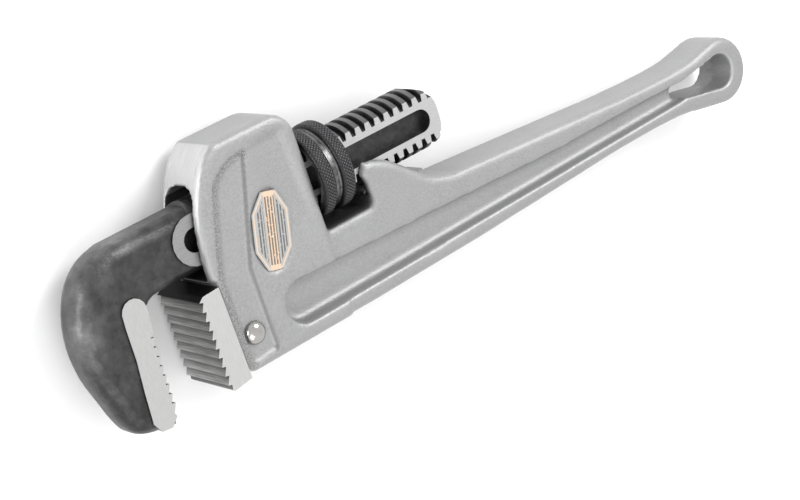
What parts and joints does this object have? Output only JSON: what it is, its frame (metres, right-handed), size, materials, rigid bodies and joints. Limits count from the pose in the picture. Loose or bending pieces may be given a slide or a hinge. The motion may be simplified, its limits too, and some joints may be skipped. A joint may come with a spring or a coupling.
{
  "type": "pipe wrench",
  "caption": "Straight pipe wrench with a light alloy handle and housing, a sliding hook jaw moved by a knurled nut, and a pinned heel jaw.",
  "frame": {"origin": "centre of the box round the whole wrench, on its underside", "axes": "+X from the hook jaw to the end of the handle, +Y from the mouth of the jaws to the back of the shank, +Z out of the label side"},
  "size_m": [0.2668, 0.0702, 0.0277],
  "materials": {
    "casting": "satin cast alloy with a fine grain",
    "jaw_forging": "black oxide forging with ground tooth pad and shank sides",
    "nut_steel": "black oxide, knurled",
    "heel_steel": "ground sides and machined teeth",
    "pin_steel": "polished dome",
    "spring_steel": "plain spring steel",
    "rivet_steel": "plain",
    "label": "printed foil, with plain bars for its print"
  },
  "bodies": {
    "handle": {"handle": "casting", "heel_jaw": "heel_steel", "heel_jaw_pin": "pin_steel", "spring_rivet": "rivet_steel", "caution_label": "label", "coil_spring": "spring_steel"},
    "rocker": {"flat_spring": "spring_steel"},
    "hook_jaw": {"hook_jaw": "jaw_forging"},
    "nut": {"adjusting_nut": "nut_steel"}
  },
  "joints": [
    {"name": "jaw_rock", "type": "hinge", "parent": "handle", "child": "rocker", "pos_m": [-0.04779, -0.00095, 0.01387], "axis": [0, 0, -1], "range_deg": [0, 3], "stiffness_Nm_per_rad": 3, "springref_deg": -1.72, "deforming": ["flat_spring", "coil_spring"]},
    {"name": "jaw_slide", "type": "slide", "parent": "rocker", "child": "hook_jaw", "axis": [-1, 0, 0], "range_m": [-0.0128, 0.038]},
    {"name": "nut_spin", "type": "hinge", "parent": "rocker", "child": "nut", "pos_m": [-0.04184, 0.01135, 0.01387], "axis": [1, 0, 0], "range_deg": [-1230, 3640]}
  ],
  "couplings": [
    {"joint": "nut_spin", "follows": "jaw_slide", "rad_per_m": 1666.6}
  ]
}
